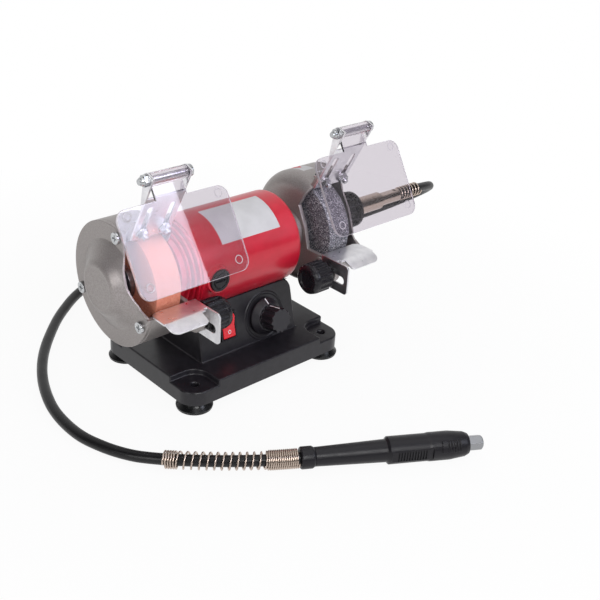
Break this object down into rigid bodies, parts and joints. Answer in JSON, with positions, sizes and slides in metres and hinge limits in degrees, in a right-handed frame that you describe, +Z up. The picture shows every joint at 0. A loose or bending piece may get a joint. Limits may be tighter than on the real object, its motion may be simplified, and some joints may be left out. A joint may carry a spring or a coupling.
{
  "type": "mini bench grinder",
  "caption": "Small bench grinder with twin guarded wheels, clear shields, tool rests, a rocker switch, a speed dial and a flexible drive shaft ending in a collet handpiece.",
  "frame": {"origin": "on the bench, in the middle of the four base bolts", "axes": "+X along the spindle to the flexible shaft's side, -Y to the front, +Z up"},
  "size_m": [0.4113, 0.3833, 0.1853],
  "materials": {
    "cast_black": "satin black paint",
    "cover_sheet": "satin",
    "foot_rubber": "glossy",
    "motor_red": "gloss red paint",
    "bearing_steel": "ground",
    "core_steel": "laminated",
    "black_plastic": "matte",
    "carbon": "carbon",
    "copper": "copper",
    "guard_paint": "hammered grey paint",
    "screw_steel": "zinc",
    "orange_abrasive": "vitrified abrasive",
    "grey_abrasive": "vitrified abrasive",
    "zinc_sheet": "bright zinc",
    "clear_shield": "clear polycarbonate",
    "rocker_red": "gloss",
    "control_board": "matte",
    "nickel": "nickel plate",
    "flex_black": "smooth casing",
    "hand_black": "satin",
    "collet_steel": "turned"
  },
  "bodies": {
    "grinder": {"base_casting": "cast_black", "bottom_cover": "cover_sheet", "rubber_feet": "foot_rubber", "motor_housing": "motor_red", "left_end_bell": "motor_red", "left_bearing": "bearing_steel", "right_bearing": "bearing_steel", "stator_core": "core_steel", "brush_caps": "black_plastic", "switch_frame": "black_plastic", "union_nut": "black_plastic", "cord_gland": "black_plastic", "carbon_brushes": "carbon", "left_guard": "guard_paint", "right_guard": "guard_paint", "left_cover": "guard_paint", "right_cover": "guard_paint", "right_end_bell": "guard_paint", "cover_screws": "screw_steel", "bracket_screws": "zinc_sheet", "speed_control": "control_board", "coupling_spigot": "nickel", "coupling_sleeve": "nickel", "coupling_ferrule": "nickel", "coupling_spring": "nickel", "hand_spring": "nickel", "flex_shaft": "flex_black", "hand_body": "hand_black", "hand_collar": "hand_black"},
    "spindle": {"spindle": "bearing_steel", "armature": "core_steel", "commutator": "copper", "left_wheel": "orange_abrasive", "right_wheel": "grey_abrasive", "wheel_clamps": "bearing_steel", "spacer_sleeves": "bearing_steel", "left_nut": "bearing_steel", "drive_nut": "bearing_steel"},
    "left_bracket": {"left_bracket": "zinc_sheet", "left_pivot": "zinc_sheet"},
    "right_bracket": {"right_bracket": "zinc_sheet", "right_pivot": "zinc_sheet"},
    "left_shield": {"left_shield": "clear_shield"},
    "right_shield": {"right_shield": "clear_shield"},
    "left_rest": {"left_rest": "zinc_sheet"},
    "right_rest": {"right_rest": "zinc_sheet"},
    "left_knob": {"left_knob": "black_plastic", "left_stud": "zinc_sheet"},
    "right_knob": {"right_knob": "black_plastic", "right_stud": "zinc_sheet"},
    "rocker": {"rocker": "rocker_red"},
    "speed_knob": {"speed_knob": "black_plastic", "speed_shaft": "bearing_steel"},
    "collet": {"collet": "collet_steel"}
  },
  "joints": [
    {"name": "spindle_spin", "type": "hinge", "parent": "grinder", "child": "spindle", "pos_m": [0, 0, 0.093], "axis": [1, 0, 0], "continuous": true},
    {"name": "collet_spin", "type": "hinge", "parent": "grinder", "child": "collet", "pos_m": [0.04876, -0.20375, 0.0099], "axis": [0.866, -0.5, 0], "continuous": true},
    {"name": "left_bracket_slide", "type": "slide", "parent": "grinder", "child": "left_bracket", "axis": [0, 0.4617, -0.887], "range_m": [0, 0.004]},
    {"name": "left_shield_tilt", "type": "hinge", "parent": "left_bracket", "child": "left_shield", "pos_m": [-0.083, -0.03952, 0.18067], "axis": [-1, 0, 0], "range_deg": [-15, 75]},
    {"name": "left_rest_slide", "type": "slide", "parent": "grinder", "child": "left_rest", "axis": [0, -1, 0], "range_m": [0, 0.008]},
    {"name": "left_knob_turn", "type": "hinge", "parent": "grinder", "child": "left_knob", "pos_m": [-0.05, -0.0463, 0.073], "axis": [-1, 0, 0], "range_deg": [0, 360]},
    {"name": "right_bracket_slide", "type": "slide", "parent": "grinder", "child": "right_bracket", "axis": [0, 0.4617, -0.887], "range_m": [0, 0.004]},
    {"name": "right_shield_tilt", "type": "hinge", "parent": "right_bracket", "child": "right_shield", "pos_m": [0.083, -0.03952, 0.18067], "axis": [-1, 0, 0], "range_deg": [-15, 75]},
    {"name": "right_rest_slide", "type": "slide", "parent": "grinder", "child": "right_rest", "axis": [0, -1, 0], "range_m": [0, 0.008]},
    {"name": "right_knob_turn", "type": "hinge", "parent": "grinder", "child": "right_knob", "pos_m": [0.05, -0.0463, 0.073], "axis": [1, 0, 0], "range_deg": [0, 360]},
    {"name": "rocker_tip", "type": "hinge", "parent": "grinder", "child": "rocker", "pos_m": [-0.02, -0.02751, 0.04521], "axis": [-1, 0, 0], "range_deg": [0, 20]},
    {"name": "speed_turn", "type": "hinge", "parent": "grinder", "child": "speed_knob", "pos_m": [0.0157, -0.03494, 0.04396], "axis": [0, 0.9781, -0.2079], "range_deg": [-140, 140]}
  ],
  "couplings": [
    {"joint": "collet_spin", "follows": "spindle_spin", "ratio": 1}
  ]
}
